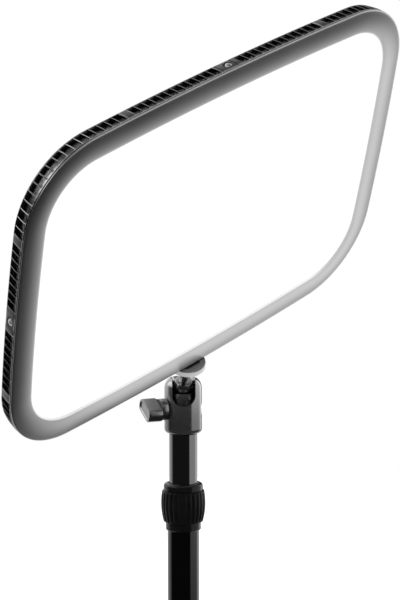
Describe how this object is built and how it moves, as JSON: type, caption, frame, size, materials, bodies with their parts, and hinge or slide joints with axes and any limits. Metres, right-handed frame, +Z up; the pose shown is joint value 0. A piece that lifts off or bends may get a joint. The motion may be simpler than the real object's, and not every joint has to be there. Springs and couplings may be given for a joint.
{
  "type": "clamp-mounted LED panel light",
  "caption": "Studio panel light with a glowing opal face in a vented dark frame, on a ball head and a telescopic pole with a desk clamp.",
  "frame": {"origin": "on the pole's axis, in the plane where the clamp's upper pad rests on the desk top", "axes": "+Z up the pole, -Y towards the side that the head leans to and the desk, +X to the right of someone who faces the lit panel"},
  "size_m": [0.2907, 0.2746, 1.0289],
  "materials": {
    "black_metal": "satin black paint",
    "gloss_tube": "gloss black enamel",
    "black_plastic": "matt moulded",
    "grey_plastic": "satin moulded dark grey",
    "steel": "zinc plated",
    "dark_aluminium": "dark satin anodised",
    "bare_aluminium": "mill finish",
    "brass": "machined",
    "opal": "opal, lit from behind",
    "clear_acrylic": "polished clear",
    "white_sheet": "matt white",
    "circuit": "solder mask",
    "rubber": "matt"
  },
  "bodies": {
    "stand": {"clamp_frame": "black_metal", "jaw_pad": "rubber", "pole_socket": "black_metal", "lower_tube": "gloss_tube", "collar_ring": "black_plastic", "collar_collet": "grey_plastic"},
    "set_screw": {"socket_screw": "grey_plastic"},
    "foot": {"clamp_foot": "black_metal", "foot_pad": "rubber"},
    "screw": {"clamp_screw": "steel", "screw_hub": "black_metal", "screw_bar": "steel", "bar_knob_left": "black_plastic", "bar_knob_right": "black_plastic"},
    "collar": {"collar_grip": "black_plastic", "collar_cap": "black_plastic"},
    "upper_pole": {"upper_tube": "gloss_tube", "tube_guide": "grey_plastic", "tube_top_plug": "bare_aluminium"},
    "head": {"head_housing": "black_metal", "ball_seat": "grey_plastic", "side_nut": "steel"},
    "knob": {"head_knob": "grey_plastic", "knob_screw": "steel"},
    "ball": {"ball_stud": "steel"},
    "disc": {"lock_disc": "grey_plastic"},
    "panel": {"front_bezel": "dark_aluminium", "diffuser": "opal", "diffuser_film": "white_sheet", "light_guide": "clear_acrylic", "reflector_sheet": "white_sheet", "led_strip_top": "circuit", "led_strip_bottom": "circuit", "led_strip_left": "circuit", "led_strip_right": "circuit", "light_frame": "white_sheet", "chassis": "bare_aluminium", "vent_rim": "dark_aluminium", "rear_cover": "dark_aluminium", "controller_board": "circuit", "power_inlet": "black_plastic", "thread_insert": "brass", "edge_screw_right": "steel", "edge_screw_top": "steel", "edge_screw_left": "steel", "rear_screw_1": "steel", "rear_screw_2": "steel", "rear_screw_3": "steel", "rear_screw_4": "steel"},
    "power_button": {"power_button": "grey_plastic"},
    "reset_button": {"reset_button": "grey_plastic"}
  },
  "joints": [
    {"name": "set_screw_turn", "type": "hinge", "parent": "stand", "child": "set_screw", "pos_m": [0, 0, 0.0401], "axis": [0, 1, 0], "range_deg": [0, 360]},
    {"name": "foot_slide", "type": "slide", "parent": "stand", "child": "foot", "axis": [0, 0, 1], "range_m": [-0.0351, 0.0251]},
    {"name": "screw_turn", "type": "hinge", "parent": "foot", "child": "screw", "pos_m": [0, -0.026, -0.035], "axis": [0, 0, 1], "range_deg": [-3150, 2250]},
    {"name": "grip_turn", "type": "hinge", "parent": "stand", "child": "collar", "pos_m": [0, 0, 0.53], "axis": [0, 0, 1], "range_deg": [0, 150]},
    {"name": "pole_slide", "type": "slide", "parent": "stand", "child": "upper_pole", "axis": [0, 0, 1], "range_m": [-0.03, 0.4]},
    {"name": "head_pan", "type": "hinge", "parent": "upper_pole", "child": "head", "pos_m": [0, 0, 0.62], "axis": [0, 0, 1], "continuous": true},
    {"name": "knob_turn", "type": "hinge", "parent": "head", "child": "knob", "pos_m": [0, 0, 0.6036], "axis": [-0.977, -0.213, 0], "range_deg": [0, 360]},
    {"name": "ball_tilt", "type": "hinge", "parent": "head", "child": "ball", "pos_m": [0, 0, 0.62], "axis": [1, 0, 0], "range_deg": [-61, 55]},
    {"name": "disc_turn", "type": "hinge", "parent": "ball", "child": "disc", "pos_m": [0, 0, 0.62], "axis": [0, -0.5592, 0.829], "range_deg": [0, 180]},
    {"name": "panel_spin", "type": "hinge", "parent": "ball", "child": "panel", "pos_m": [0, 0, 0.62], "axis": [0, -0.5592, 0.829], "continuous": true},
    {"name": "power_press", "type": "slide", "parent": "panel", "child": "power_button", "axis": [0.5779, -0.6766, -0.4564], "range_m": [0, 0.0012], "stiffness_N_per_m": 600, "springref_m": -0.0006},
    {"name": "reset_press", "type": "slide", "parent": "panel", "child": "reset_button", "axis": [0.5779, -0.6766, -0.4564], "range_m": [0, 0.0008], "stiffness_N_per_m": 600, "springref_m": -0.0006}
  ],
  "couplings": [
    {"joint": "foot_slide", "follows": "screw_turn", "m_per_rad": 0.00063662}
  ]
}
